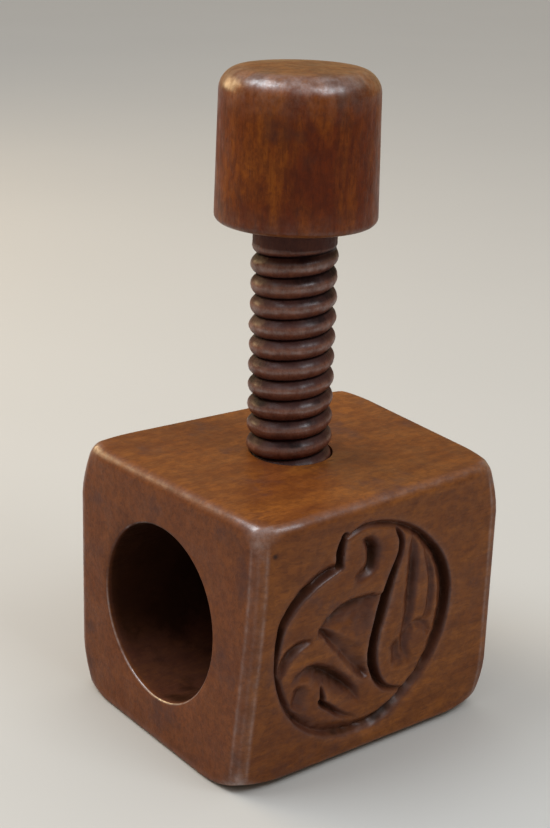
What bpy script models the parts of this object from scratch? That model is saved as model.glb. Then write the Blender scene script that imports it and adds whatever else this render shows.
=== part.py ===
"""Wooden screw nutcracker: a carved block, a turned screw, its knob and the hidden dowel that joins them.

Metres, +Z up. The origin is the foot of the screw's axis on the block's underside.
The nut bore opens toward -Y and the carved face looks toward +X.
"""

import math

import bmesh
import bpy
from mathutils import Matrix, Vector

# Block, cut by hand: its front and back top corners lean out of square by LEAN_X and LEAN_Y
BLOCK_X = 0.0716
BLOCK_Y = 0.0828
BLOCK_HEIGHT = 0.070
LEAN_X = 0.0030
LEAN_Y = 0.0051
EDGE_ROUND = 0.0032
BASE_ROUND = 0.0014

# Blind nut bore
BORE_RADIUS = 0.02225
BORE_OFFSET_X = 0.0003
BORE_AXIS_HEIGHT = 0.0351
BORE_END_WALL = 0.0165
BORE_FLOOR_ROUND = 0.0010

# Screw thread: right-hand, one start
PITCH = 0.0052
CREST_RADIUS = 0.0111
THREAD_DEPTH = 0.0019
THREAD_START_HEIGHT = 0.0012
THREAD_RUN_OUT = 0.0040
THREAD_CLEARANCE = 0.0005
HOLE_MOUTH_ROUND = 0.0009
# Share of the pitch, then share of the thread's depth: a broad round ridge between narrow grooves
THREAD_RIDGE = ((0.0, 0.0), (0.13, 0.45), (0.3, 0.87), (0.5, 1.0), (0.7, 0.87), (0.87, 0.45))

# Screw ends
NOSE_BELOW_BORE_TOP = 0.0018
NOSE_LENGTH = 0.0030
NECK_RADIUS = 0.0104
NECK_LENGTH = 0.0057

# Knob
KNOB_BOTTOM_HEIGHT = 0.1297
KNOB_LENGTH = 0.0375
KNOB_BOTTOM_RADIUS = 0.0200
KNOB_TOP_RADIUS = 0.0194
KNOB_BOTTOM_ROUND = 0.0018
KNOB_TOP_ROUND = 0.0052
KNOB_CROWN = 0.0007
SOCKET_DEPTH = 0.0200

# Hidden dowel
DOWEL_RADIUS = 0.0030
DOWEL_IN_SCREW = 0.0100
DOWEL_IN_KNOB = 0.0060

# Carved medallion on the +X face
MEDALLION_RADIUS = 0.0286
MEDALLION_OFFSET_Y = -0.0035
MEDALLION_HEIGHT = 0.0356
MEDALLION_DEPTH = 0.0016
LOBE_COUNT = 3
LOBE_HEAD_RADIUS = 0.0073
LOBE_TAIL_RADIUS = 0.0008
LOBE_HEAD_FROM_CENTRE = 0.0165
LOBE_TAIL_FROM_CENTRE = 0.0248
LOBE_SWEEP_DEGREES = 84
LOBE_START_DEGREES = 90

# Gap between glued pieces, and how far a cutter runs past what it cuts
GLUE_GAP = 0.0003
PAST = 0.0030

THREAD_SEGMENTS = 32
ROUND_SEGMENTS = 64
FACE_CUTS = 5
EDGE_SEGMENTS = 3

ROOT_RADIUS = CREST_RADIUS - THREAD_DEPTH
BORE_TOP_HEIGHT = BORE_AXIS_HEIGHT + BORE_RADIUS
NOSE_HEIGHT = BORE_TOP_HEIGHT - NOSE_BELOW_BORE_TOP
THREAD_TOP_HEIGHT = KNOB_BOTTOM_HEIGHT - NECK_LENGTH
SOCKET_TOP_HEIGHT = KNOB_BOTTOM_HEIGHT + SOCKET_DEPTH


def clear_scene():
    for obj in list(bpy.data.objects):
        bpy.data.objects.remove(obj, do_unlink=True)


def wood(name, colour, roughness):
    material = bpy.data.materials.new(name)
    material.use_nodes = True
    shader = material.node_tree.nodes["Principled BSDF"]
    shader.inputs["Base Color"].default_value = (*colour, 1.0)
    shader.inputs["Roughness"].default_value = roughness
    shader.inputs["Metallic"].default_value = 0.0
    return material


def add_object(name, bm, material=None):
    """Turns a bmesh into an object of the scene, smooth apart from its sharp edges."""
    bmesh.ops.recalc_face_normals(bm, faces=bm.faces)
    mesh = bpy.data.meshes.new(name)
    bm.to_mesh(mesh)
    bm.free()
    mesh.shade_smooth()
    mesh.set_sharp_from_angle(angle=math.radians(35))
    obj = bpy.data.objects.new(name, mesh)
    bpy.context.scene.collection.objects.link(obj)
    if material:
        mesh.materials.append(material)
    return obj


def add_cutter(name, bm):
    cutter = add_object(name, bm)
    cutter.hide_render = True
    cutter.display_type = "WIRE"
    return cutter


def cut(obj, cutter):
    modifier = obj.modifiers.new(cutter.name, "BOOLEAN")
    modifier.operation = "DIFFERENCE"
    modifier.solver = "EXACT"
    modifier.object = cutter


def turned(profile, segments):
    """A solid of revolution about Z. The profile's (radius, height) points start and end on the axis."""
    bm = bmesh.new()
    points = [bm.verts.new((radius, 0.0, height)) for radius, height in profile]
    edges = [bm.edges.new(pair) for pair in zip(points, points[1:])]
    bmesh.ops.spin(
        bm,
        geom=points + edges,
        cent=(0, 0, 0),
        axis=(0, 0, 1),
        angle=math.tau,
        steps=segments,
        use_merge=True,
    )
    bmesh.ops.remove_doubles(bm, verts=bm.verts, dist=1e-6)
    return bm


def arc(centre_radius, centre_height, radius, start, end, steps):
    """Points of a profile's round corner, from one angle to the other in degrees."""
    points = []
    for step in range(steps + 1):
        angle = math.radians(start + (end - start) * step / steps)
        points.append(
            (centre_radius + radius * math.cos(angle), centre_height + radius * math.sin(angle))
        )
    return points


def leaned(point):
    """Where a point of the square block goes when its front and back top corners lean."""
    across = point.x / (BLOCK_X / 2)
    along = point.y / (BLOCK_Y / 2)
    share = (1 - across * along) / 2 * point.z / BLOCK_HEIGHT
    return point + Vector((LEAN_X, LEAN_Y, 0)) * share


def bevel(bm, edges, offset):
    bmesh.ops.bevel(
        bm,
        geom=edges,
        offset=offset,
        segments=EDGE_SEGMENTS,
        profile=0.5,
        affect="EDGES",
        material=-1,
    )


def base_edges(bm):
    return [edge for edge in bm.edges if max(vert.co.z for vert in edge.verts) < 1e-6]


def rounded_block():
    bm = bmesh.new()
    bmesh.ops.create_cube(bm, size=1.0)
    for vert in bm.verts:
        vert.co = Vector(
            (vert.co.x * BLOCK_X, vert.co.y * BLOCK_Y, (vert.co.z + 0.5) * BLOCK_HEIGHT)
        )
    base = base_edges(bm)
    bevel(bm, [edge for edge in bm.edges if edge not in base], EDGE_ROUND)
    bevel(bm, base_edges(bm), BASE_ROUND)
    long_edges = [edge for edge in bm.edges if edge.calc_length() > 4 * EDGE_ROUND]
    bmesh.ops.subdivide_edges(bm, edges=long_edges, cuts=FACE_CUTS, use_grid_fill=True)
    for vert in bm.verts:
        vert.co = leaned(vert.co)
    bmesh.ops.triangulate(bm, faces=bm.faces)
    return bm


def bore_cutter():
    """Revolved about its own Z, which then points out of the bore's mouth, along -Y."""
    end_y = BLOCK_Y / 2 - BORE_END_WALL
    length = end_y + BLOCK_Y / 2 + PAST
    floor_round = arc(
        BORE_RADIUS - BORE_FLOOR_ROUND, BORE_FLOOR_ROUND, BORE_FLOOR_ROUND, -90, 0, 3
    )
    profile = [(0.0, 0.0), *floor_round, (BORE_RADIUS, length), (0.0, length)]
    cutter = add_cutter("bore_cutter", turned(profile, ROUND_SEGMENTS))
    cutter.location = (BORE_OFFSET_X, end_y, BORE_AXIS_HEIGHT)
    cutter.rotation_euler = (math.pi / 2, 0, 0)
    return cutter


def ridge_height(share):
    """The thread's height at a share of its pitch, from 0 in the groove to 1 on the crest."""
    points = (*THREAD_RIDGE, (1.0, THREAD_RIDGE[0][1]))
    for (low, low_height), (high, high_height) in zip(points, points[1:]):
        if share <= high:
            return low_height + (high_height - low_height) * (share - low) / (high - low)
    return points[-1][1]


def smooth(value):
    value = min(max(value, 0.0), 1.0)
    return value * value * (3 - 2 * value)


def threaded_tube(low, high, radius_at):
    """An open tube about Z whose grid follows the helix, cut level at both heights.

    radius_at(ridge, height) gives the radius for a ridge height of 0 to 1.
    """
    groove_height = THREAD_START_HEIGHT - PITCH / 2
    first_turn = math.floor((low - groove_height) / PITCH) - 1
    start = groove_height + first_turn * PITCH
    turns = math.ceil((high - start) / PITCH) + 1
    bm = bmesh.new()
    shares = [share for share, _ in THREAD_RIDGE] + [1.0]
    points = [bm.verts.new((CREST_RADIUS, 0.0, start + share * PITCH)) for share in shares]
    edges = [bm.edges.new(pair) for pair in zip(points, points[1:])]
    bmesh.ops.spin(
        bm,
        geom=points + edges,
        cent=(0, 0, 0),
        axis=(0, 0, 1),
        dvec=(0, 0, PITCH / THREAD_SEGMENTS),
        angle=math.tau * turns,
        steps=THREAD_SEGMENTS * turns,
    )
    bmesh.ops.remove_doubles(bm, verts=bm.verts, dist=1e-6)
    for vert in bm.verts:
        turn = math.atan2(vert.co.y, vert.co.x) / math.tau
        share = ((vert.co.z - start) / PITCH - turn) % 1.0
        radius = radius_at(ridge_height(share), vert.co.z)
        scale = radius / math.hypot(vert.co.x, vert.co.y)
        vert.co = (vert.co.x * scale, vert.co.y * scale, vert.co.z)
    for height, outward in ((low, -1), (high, 1)):
        bmesh.ops.bisect_plane(
            bm,
            geom=bm.verts[:] + bm.edges[:] + bm.faces[:],
            dist=1e-7,
            plane_co=(0, 0, height),
            plane_no=(0, 0, outward),
            clear_outer=True,
        )
    return bm


def rim_at(bm, height):
    return [
        edge
        for edge in bm.edges
        if edge.is_boundary and all(abs(vert.co.z - height) < 1e-6 for vert in edge.verts)
    ]


def add_ring(bm, rim, radius, height):
    """Extrudes an open rim to a new radius and height, and returns the new rim."""
    made = bmesh.ops.extrude_edge_only(bm, edges=rim)["geom"]
    verts = {item for item in made if isinstance(item, bmesh.types.BMVert)}
    for vert in verts:
        outward = Vector((vert.co.x, vert.co.y)).normalized() * radius
        vert.co = (outward.x, outward.y, height)
    edges = (item for item in made if isinstance(item, bmesh.types.BMEdge))
    return [edge for edge in edges if set(edge.verts) <= verts]


def close_rim(bm, rim, height):
    """Fills an open rim with triangles that meet on the axis."""
    middle = bm.verts.new((0, 0, height))
    for edge in rim:
        bm.faces.new((*edge.verts, middle))


def build_screw(material):
    low = NOSE_HEIGHT + NOSE_LENGTH

    def radius_at(ridge, height):
        thread = ROOT_RADIUS + THREAD_DEPTH * ridge
        above_nose = smooth((height - low) / THREAD_RUN_OUT)
        below_neck = smooth((THREAD_TOP_HEIGHT - height) / THREAD_RUN_OUT)
        radius = ROOT_RADIUS + (thread - ROOT_RADIUS) * above_nose
        return NECK_RADIUS + (radius - NECK_RADIUS) * below_neck

    bm = threaded_tube(low, THREAD_TOP_HEIGHT, radius_at)
    rim = rim_at(bm, low)
    for radius_share, height_share in ((0.92, 0.45), (0.74, 0.12), (0.45, 0.0)):
        rim = add_ring(bm, rim, ROOT_RADIUS * radius_share, NOSE_HEIGHT + NOSE_LENGTH * height_share)
    close_rim(bm, rim, NOSE_HEIGHT)
    top = SOCKET_TOP_HEIGHT - GLUE_GAP
    hole_radius = DOWEL_RADIUS + GLUE_GAP
    rim = rim_at(bm, THREAD_TOP_HEIGHT)
    rim = add_ring(bm, rim, NECK_RADIUS, top)
    rim = add_ring(bm, rim, hole_radius, top)
    rim = add_ring(bm, rim, hole_radius, top - DOWEL_IN_SCREW)
    close_rim(bm, rim, top - DOWEL_IN_SCREW)
    return add_object("screw", bm, material)


def screw_hole_cutter():
    """The screw's own thread, larger by the clearance, from inside the bore to above the block."""
    widest = CREST_RADIUS + THREAD_CLEARANCE
    reach = widest + abs(BORE_OFFSET_X)
    low = BORE_AXIS_HEIGHT + math.sqrt(BORE_RADIUS**2 - reach**2) - PAST
    high = BLOCK_HEIGHT + PAST

    def radius_at(ridge, height):
        return ROOT_RADIUS + THREAD_CLEARANCE + THREAD_DEPTH * ridge

    bm = threaded_tube(low, high, radius_at)
    for height in (low, high):
        close_rim(bm, rim_at(bm, height), height)
    return add_cutter("screw_hole_cutter", bm)


def hole_mouth_cutter():
    """A turned ring section that opens the threaded hole's mouth to a plain round rim."""
    widest = CREST_RADIUS + THREAD_CLEARANCE
    bottom = BLOCK_HEIGHT - HOLE_MOUTH_ROUND
    top = BLOCK_HEIGHT + PAST
    wide = widest + HOLE_MOUTH_ROUND
    profile = [(0.0, bottom - widest), (widest, bottom), (wide, BLOCK_HEIGHT)]
    profile += [(wide + PAST, top), (0.0, top)]
    return add_cutter("hole_mouth_cutter", turned(profile, ROUND_SEGMENTS))


def medallion_frame():
    """Place and directions on the carved face: local X runs along +Y, local Y up, local Z outward."""

    def on_face(y, z):
        return leaned(Vector((BLOCK_X / 2, y, z)))

    centre = on_face(MEDALLION_OFFSET_Y - LEAN_Y / 4, MEDALLION_HEIGHT)
    step = MEDALLION_RADIUS / 2
    along = on_face(MEDALLION_OFFSET_Y + step, MEDALLION_HEIGHT)
    along -= on_face(MEDALLION_OFFSET_Y - step, MEDALLION_HEIGHT)
    up = on_face(MEDALLION_OFFSET_Y, MEDALLION_HEIGHT + step)
    up -= on_face(MEDALLION_OFFSET_Y, MEDALLION_HEIGHT - step)
    outward = along.cross(up).normalized()
    along.normalize()
    up = outward.cross(along)
    matrix = Matrix((along, up, outward)).transposed().to_4x4()
    matrix.translation = centre
    return matrix


def lobe_outline(start):
    """One comma-shaped leaf: a round head, then a tail that narrows as it sweeps round the rim."""
    steps = 10
    outer, inner = [], []
    for step in range(steps + 1):
        share = step / steps
        angle = start + math.radians(LOBE_SWEEP_DEGREES) * share
        reach = LOBE_HEAD_FROM_CENTRE + (LOBE_TAIL_FROM_CENTRE - LOBE_HEAD_FROM_CENTRE) * share
        half = LOBE_HEAD_RADIUS + (LOBE_TAIL_RADIUS - LOBE_HEAD_RADIUS) * share**0.8
        outer.append(((reach + half) * math.cos(angle), (reach + half) * math.sin(angle)))
        inner.append(((reach - half) * math.cos(angle), (reach - half) * math.sin(angle)))
    head = []
    centre = (LOBE_HEAD_FROM_CENTRE * math.cos(start), LOBE_HEAD_FROM_CENTRE * math.sin(start))
    for step in range(1, 6):
        angle = start + math.pi + math.pi * step / 6
        head.append(
            (
                centre[0] + LOBE_HEAD_RADIUS * math.cos(angle),
                centre[1] + LOBE_HEAD_RADIUS * math.sin(angle),
            )
        )
    return outer + inner[::-1] + head


def prism(outline, low, high):
    bm = bmesh.new()
    face = bm.faces.new([bm.verts.new((x, y, low)) for x, y in outline])
    made = bmesh.ops.extrude_face_region(bm, geom=[face], use_keep_orig=True)["geom"]
    for vert in (item for item in made if isinstance(item, bmesh.types.BMVert)):
        vert.co.z = high
    return bm


def medallion_cutter():
    """A shallow disc with the three leaves left out of it, so that they stay standing."""
    matrix = medallion_frame()
    bm = bmesh.new()
    depth = MEDALLION_DEPTH + PAST
    bmesh.ops.create_cone(
        bm,
        cap_ends=True,
        segments=ROUND_SEGMENTS,
        radius1=MEDALLION_RADIUS,
        radius2=MEDALLION_RADIUS,
        depth=depth,
        matrix=Matrix.Translation((0, 0, depth / 2 - MEDALLION_DEPTH)),
    )
    disc = add_cutter("medallion_cutter", bm)
    disc.matrix_world = matrix
    for index in range(LOBE_COUNT):
        start = math.radians(LOBE_START_DEGREES) + math.tau * index / LOBE_COUNT
        bm = prism(lobe_outline(start), -MEDALLION_DEPTH - PAST, 2 * PAST)
        lobe = add_cutter(f"leaf_{index + 1}", bm)
        lobe.matrix_world = matrix
        cut(disc, lobe)
    return disc


def build_block(material):
    block = add_object("block", rounded_block(), material)
    for cutter in (
        bore_cutter(),
        screw_hole_cutter(),
        hole_mouth_cutter(),
        medallion_cutter(),
    ):
        cut(block, cutter)
    return block


def build_knob(material):
    """Turned about its own Z with its underside at 0."""
    socket_radius = NECK_RADIUS + GLUE_GAP
    hole_radius = DOWEL_RADIUS + GLUE_GAP
    hole_top = SOCKET_DEPTH + DOWEL_IN_KNOB
    side_bottom = KNOB_BOTTOM_RADIUS - KNOB_BOTTOM_ROUND
    side_top = KNOB_TOP_RADIUS - KNOB_TOP_ROUND
    rim_height = KNOB_LENGTH - KNOB_CROWN
    profile = [(0.0, hole_top), (hole_radius, hole_top), (hole_radius, SOCKET_DEPTH)]
    profile += [(socket_radius, SOCKET_DEPTH), (socket_radius, 0.0)]
    profile += arc(side_bottom, KNOB_BOTTOM_ROUND, KNOB_BOTTOM_ROUND, -90, 0, 4)
    profile += arc(side_top, rim_height - KNOB_TOP_ROUND, KNOB_TOP_ROUND, 0, 90, 6)
    profile += [(side_top / 2, rim_height + KNOB_CROWN * 0.75), (0.0, KNOB_LENGTH)]
    knob = add_object("knob", turned(profile, ROUND_SEGMENTS), material)
    knob.location = (0, 0, KNOB_BOTTOM_HEIGHT)
    return knob


def build_dowel(material):
    """Centred on the joint between the screw's end and the knob's socket."""
    bottom = -DOWEL_IN_SCREW
    top = DOWEL_IN_KNOB - GLUE_GAP
    profile = [(0.0, bottom), (DOWEL_RADIUS, bottom), (DOWEL_RADIUS, top), (0.0, top)]
    dowel = add_object("knob_dowel", turned(profile, THREAD_SEGMENTS), material)
    dowel.location = (0, 0, SOCKET_TOP_HEIGHT)
    return dowel


def main():
    clear_scene()
    block = build_block(wood("block_wood", (0.30, 0.125, 0.045), 0.38))
    screw = build_screw(wood("screw_wood", (0.22, 0.085, 0.045), 0.45))
    knob = build_knob(wood("knob_wood", (0.16, 0.045, 0.022), 0.30))
    dowel = build_dowel(wood("dowel_wood", (0.42, 0.28, 0.15), 0.60))
    axis = bpy.data.objects.new("screw_axis", None)
    bpy.context.scene.collection.objects.link(axis)
    for piece in (screw, knob, dowel):
        piece.parent = axis
    axis.parent = block


main()
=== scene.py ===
import math

import bmesh
import bpy
import numpy as np
from mathutils import Matrix, Vector, noise


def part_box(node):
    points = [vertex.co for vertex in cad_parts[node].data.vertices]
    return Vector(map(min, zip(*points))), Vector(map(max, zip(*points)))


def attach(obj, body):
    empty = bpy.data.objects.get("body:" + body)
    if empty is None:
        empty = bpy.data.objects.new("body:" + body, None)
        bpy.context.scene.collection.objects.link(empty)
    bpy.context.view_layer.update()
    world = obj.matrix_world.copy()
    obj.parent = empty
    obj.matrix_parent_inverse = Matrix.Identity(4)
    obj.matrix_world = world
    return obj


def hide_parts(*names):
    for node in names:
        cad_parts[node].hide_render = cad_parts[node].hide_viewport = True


# Looks of a wooden screw nutcracker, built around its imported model.
# Metres, +Z up. The nut bore opens toward -Y and the carved face looks toward +X.

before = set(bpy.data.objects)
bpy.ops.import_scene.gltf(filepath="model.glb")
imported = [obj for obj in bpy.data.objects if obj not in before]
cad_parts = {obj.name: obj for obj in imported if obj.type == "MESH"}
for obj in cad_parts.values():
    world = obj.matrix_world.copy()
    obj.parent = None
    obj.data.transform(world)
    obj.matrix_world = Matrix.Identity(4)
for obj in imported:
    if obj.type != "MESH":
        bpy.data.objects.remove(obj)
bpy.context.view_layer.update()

BLOCK_LOW, BLOCK_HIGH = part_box("block")
KNOB_LOW, KNOB_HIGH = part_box("knob")
SCREW_LOW, SCREW_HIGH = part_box("screw")

# Two points nearer than this are one, and cutters reach this far past what they cut
CLOSE = 1e-6
PAST = 0.0030

# Block, cut by hand: its front and back top corners lean out of square, its corners are eased
# and the foot of its carved side is worn. The corner with the lowest X and Y doesn't lean, so
# the low sides of its box give its square size.
BLOCK_X = -2 * BLOCK_LOW.x
BLOCK_Y = -2 * BLOCK_LOW.y
BLOCK_HEIGHT = BLOCK_HIGH.z
LEAN_X = 0.0030
LEAN_Y = 0.0051
UPRIGHT_ROUND = 0.0038
RIM_ROUND = 0.0032
BASE_ROUND = 0.0014
CORNER_REACH = 0.0140
CORNER_STEP = 0.0028
CORNER_ROUNDNESS = 1.6
TOP_CORNER_EASE = (0.0026, 0.0026, 0.0)
BASE_CORNER_EASE = (0.0021, 0.0021, 0.0012)
FRONT_CORNER_EASE = (0.0042, 0.0014, 0.0022)
FRONT_CORNER_DROP = 0.0300
FOOT_WEAR = 0.0019
FOOT_WEAR_WIDTH = 0.0115
FOOT_WEAR_HEIGHT = 0.0042
FAR_EDGE_CRISPNESS = 4
EDGE_SEGMENTS = 8

# Where the block's edges are rubbed: all along, more at the corners, and in lines up its uprights.
# Along the edges and most at the corners the lighter colour is partly a painted sheen
EDGE_WEAR_WIDTH = 0.0030
CORNER_WEAR_REACH = 0.0090
CORNER_WEAR_AND_SHEEN_GAIN = 0.6
CORNER_WEAR_SPREAD = 1.0
UPRIGHT_LINE_INSET = 0.0028
UPRIGHT_LINE_WIDTH = 0.0010
UPRIGHT_LINE_WEAR = 0.42

# Nut bore, blind. Its mouth rings are shares of its length. ACROSS counts in lip widths outward
# from its wall, and BELOW in radii downward from its axis.
BORE_RADIUS = 0.02225
BORE_OFFSET_X = 0.0003
BORE_AXIS_HEIGHT = 0.0351
BORE_END_WALL = 0.0165
BORE_FLOOR_ROUND = 0.0010
BORE_TALLER = 1.025
BORE_MOUTH_RINGS = (0.7, 0.9, 0.95, 0.975)
BORE_LIP = 0.0007
LIP_STEPS = 5
# The lip's lower half is lightened as a painted highlight
LIP_HIGHLIGHT_ACROSS = (0.1, 0.52)
LIP_HIGHLIGHT_BELOW = (-0.4, 0.6)
# The insides of the bore and the threaded hole are darkened as painted shade, less on the bore's
# floor
BORE_SHADE = 0.84
BORE_SHADE_DEPTH = 0.0028
BORE_FLOOR_LIGHT = 0.38
BORE_FLOOR_BELOW = (0.4, 0.9)
HOLE_SHADE_DEPTH = 0.0025
HOLE_SHADE_MARGIN = 0.00004

# Thread: right-hand, one start, broad round ridges between narrow grooves. Its lumps and
# chatter are what the cutting left uneven: how much, and over what size.
PITCH = 0.0052
CREST_RADIUS = 0.0111
THREAD_DEPTH = 0.0019
THREAD_START_HEIGHT = 0.0012
THREAD_CLEARANCE = 0.0004
THREAD_RUN_OUT = 0.0024
THREAD_TOP_HEIGHT = 0.1247
THREAD_LUMP = 0.0002
THREAD_LUMP_SIZE = 0.0045
THREAD_CHATTER = 0.0001
THREAD_CHATTER_SIZE = 0.0016
RIDGE_SHARPNESS = 0.85
# The thread's crests are lightened as rubbed wear and partly as a painted sheen
RIDGE_WEAR_AND_SHEEN = 0.65
RIDGE_WEAR_AND_SHEEN_START = 0.3
ROOT_RADIUS = CREST_RADIUS - THREAD_DEPTH
NECK_RADIUS = 0.0104
NECK_SHADE = 0.8
NOSE_LENGTH = 0.0030
NOSE_FLAT_SHARE = 0.6
NOSE_RING_DEGREES = 15
HOLE_LIP = 0.0005

# Where the thread is darkened as painted shade, partly dirt, in its grooves and on its upper flanks,
# as shares of its pitch from the middle of a groove upward
GROOVE_BELOW = (0.13, 0.0)
GROOVE_ABOVE = (0.912, 0.992)
UPPER_FLANK = (0.572, 0.792)
UPPER_FLANK_SHADE = 0.62

# Knob
KNOB_TOP_RADIUS = 0.0194
KNOB_BOTTOM_ROUND = 0.0018
KNOB_TOP_ROUND = 0.0056
KNOB_CROWN = 0.0007
KNOB_BOTTOM_STEPS = 8
KNOB_TOP_STEPS = 14
KNOB_SIDE_STEPS = 5
KNOB_CROWN_STEPS = 4
KNOB_FOOT_WEAR = 0.4
DOWEL_LOW, DOWEL_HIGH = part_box("knob_dowel")
GLUE_GAP = 0.0003
SOCKET_TOP_HEIGHT = SCREW_HIGH.z + GLUE_GAP

# Carved whorl on the +X face
WHORL_RADIUS = 0.0286
WHORL_CENTRE_Y = -0.0035
WHORL_CENTRE_HEIGHT = 0.0356
CARVE_DEPTH = 0.0038
SUNK_DEPTH = 0.0003

# Section of a gouge cut: how square its foot is, then how softly it meets the surface
VEE = (1.0, 1.3)
DISH = (1.3, 2.0)
STEEP = (3.0, 1.0)

# Cuts of the whorl. Each point is a place, the widths to its left and right, and a depth:
# places and widths are shares of the whorl's radius, and depths are shares of the carving's depth.
RIM_CUT = (
    (-0.25, 0.925, 0.03, 0.03, 0.30),
    (-0.09, 0.98, 0.035, 0.04, 0.42),
    (0.11, 0.965, 0.035, 0.05, 0.45),
    (0.35, 0.895, 0.03, 0.06, 0.50),
    (0.61, 0.745, 0.02, 0.08, 0.65),
    (0.875, 0.46, 0.018, 0.125, 0.85),
    (1.00, 0.12, 0.018, 0.150, 0.90),
    (0.955, -0.24, 0.02, 0.130, 0.78),
    (0.77, -0.58, 0.05, 0.085, 0.68),
    (0.55, -0.765, 0.08, 0.05, 0.70),
    (0.30, -0.92, 0.09, 0.06, 0.72),
    (0.05, -0.98, 0.06, 0.10, 0.68),
    (-0.22, -0.95, 0.045, 0.13, 0.62),
    (-0.45, -0.87, 0.03, 0.12, 0.50),
    (-0.68, -0.70, 0.025, 0.09, 0.55),
    (-0.86, -0.43, 0.02, 0.05, 0.60),
    (-0.945, -0.10, 0.025, 0.045, 0.70),
    (-0.915, 0.22, 0.05, 0.03, 0.80),
    (-0.825, 0.375, 0.075, 0.03, 0.80),
    (-0.69, 0.495, 0.10, 0.03, 0.78),
    (-0.53, 0.585, 0.12, 0.03, 0.70),
    (-0.38, 0.64, 0.11, 0.03, 0.60),
    (-0.31, 0.66, 0.06, 0.03, 0.50),
)
HEAD_SLOT = (
    (-0.285, 0.945, 0.035, 0.035, 0.70),
    (-0.315, 0.82, 0.045, 0.04, 1.00),
    (-0.30, 0.68, 0.03, 0.04, 0.85),
)
MIDDLE_CUT = (
    (0.33, 0.855, 0.025, 0.02, 0.40),
    (0.385, 0.74, 0.03, 0.025, 0.65),
    (0.38, 0.61, 0.03, 0.03, 0.75),
    (0.325, 0.475, 0.03, 0.035, 0.80),
    (0.27, 0.31, 0.05, 0.045, 1.00),
    (0.215, 0.10, 0.05, 0.05, 1.00),
    (0.17, -0.05, 0.045, 0.05, 1.00),
    (0.145, -0.20, 0.05, 0.055, 1.00),
    (0.145, -0.33, 0.05, 0.055, 0.95),
    (0.175, -0.47, 0.04, 0.045, 0.80),
    (0.235, -0.585, 0.03, 0.04, 0.65),
    (0.335, -0.68, 0.02, 0.03, 0.42),
    (0.56, -0.765, 0.02, 0.02, 0.20),
)
TAIL_CUT = (
    (-0.58, 0.055, 0.03, 0.03, 0.20),
    (-0.71, 0.02, 0.045, 0.09, 0.55),
    (-0.82, -0.06, 0.045, 0.10, 0.60),
    (-0.88, -0.16, 0.035, 0.05, 0.50),
    (-0.91, -0.24, 0.02, 0.03, 0.20),
)
RECESS_TOP = (
    (-0.475, 0.10, 0.02, 0.05, 0.45),
    (-0.39, 0.17, 0.05, 0.16, 0.68),
    (-0.25, 0.235, 0.08, 0.28, 0.78),
    (-0.08, 0.26, 0.08, 0.36, 0.75),
    (0.09, 0.265, 0.06, 0.18, 0.55),
)
RECESS_FOOT = (
    (-0.475, 0.11, 0.04, 0.02, 0.55),
    (-0.41, 0.06, 0.10, 0.04, 0.72),
    (-0.29, -0.07, 0.14, 0.07, 0.52),
    (-0.17, -0.21, 0.16, 0.08, 0.48),
    (-0.04, -0.36, 0.14, 0.08, 0.55),
    (0.06, -0.46, 0.06, 0.05, 0.60),
)
CRESCENT = (
    (-0.76, -0.30, 0.03, 0.04, 0.08),
    (-0.68, -0.245, 0.05, 0.12, 0.32),
    (-0.54, -0.235, 0.07, 0.15, 0.62),
    (-0.41, -0.295, 0.08, 0.17, 0.82),
    (-0.28, -0.385, 0.08, 0.18, 0.90),
    (-0.16, -0.49, 0.08, 0.16, 0.80),
    (-0.06, -0.60, 0.06, 0.10, 0.50),
    (0.00, -0.69, 0.03, 0.05, 0.18),
)
CRESCENT_SLIT = (
    (-0.44, -0.58, 0.03, 0.02, 0.55),
    (-0.40, -0.615, 0.035, 0.03, 0.85),
    (-0.32, -0.68, 0.04, 0.03, 0.65),
    (-0.22, -0.76, 0.04, 0.04, 0.45),
    (-0.12, -0.82, 0.04, 0.04, 0.28),
    (-0.03, -0.86, 0.03, 0.03, 0.12),
)
CRESCENT_NICK = ((-0.415, -0.445, 0.03, 0.03, 0.50), (-0.405, -0.575, 0.035, 0.035, 0.80))
CRESCENT_EYE = ((-0.66, -0.42, 0.12, 0.12, 0.50), (-0.69, -0.52, 0.12, 0.12, 0.45))
HEAD_HOLLOW = (
    (-0.05, 0.845, 0.06, 0.07, 0.20),
    (0.03, 0.80, 0.08, 0.10, 0.60),
    (0.08, 0.715, 0.09, 0.13, 0.85),
    (0.085, 0.62, 0.09, 0.14, 0.82),
    (0.03, 0.545, 0.09, 0.13, 0.60),
    (-0.07, 0.505, 0.08, 0.10, 0.35),
)
LEAF_HOLLOW = (
    (0.53, 0.73, 0.04, 0.05, 0.20),
    (0.56, 0.58, 0.06, 0.11, 0.50),
    (0.58, 0.39, 0.06, 0.14, 0.62),
    (0.57, 0.20, 0.06, 0.14, 0.62),
    (0.56, 0.00, 0.06, 0.13, 0.56),
    (0.53, -0.15, 0.06, 0.11, 0.45),
    (0.485, -0.28, 0.07, 0.09, 0.35),
)
LEAF_SIDE_HOLLOW = (
    (0.69, 0.57, 0.04, 0.05, 0.22),
    (0.78, 0.34, 0.06, 0.07, 0.42),
    (0.80, 0.13, 0.06, 0.07, 0.42),
    (0.78, -0.04, 0.06, 0.07, 0.36),
    (0.72, -0.14, 0.04, 0.05, 0.25),
)
FOOT_HOLLOW = ((0.43, -0.32, 0.15, 0.13, 0.50), (0.45, -0.43, 0.16, 0.13, 0.50))
BUD_TOP = (
    (0.595, -0.12, 0.06, 0.08, 0.24),
    (0.66, -0.135, 0.07, 0.09, 0.32),
    (0.73, -0.17, 0.07, 0.09, 0.32),
    (0.785, -0.25, 0.05, 0.07, 0.24),
)
BUD_SIDE = (
    (0.575, -0.16, 0.06, 0.08, 0.40),
    (0.525, -0.26, 0.07, 0.09, 0.50),
    (0.52, -0.38, 0.08, 0.08, 0.45),
    (0.57, -0.47, 0.07, 0.07, 0.25),
)
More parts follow.
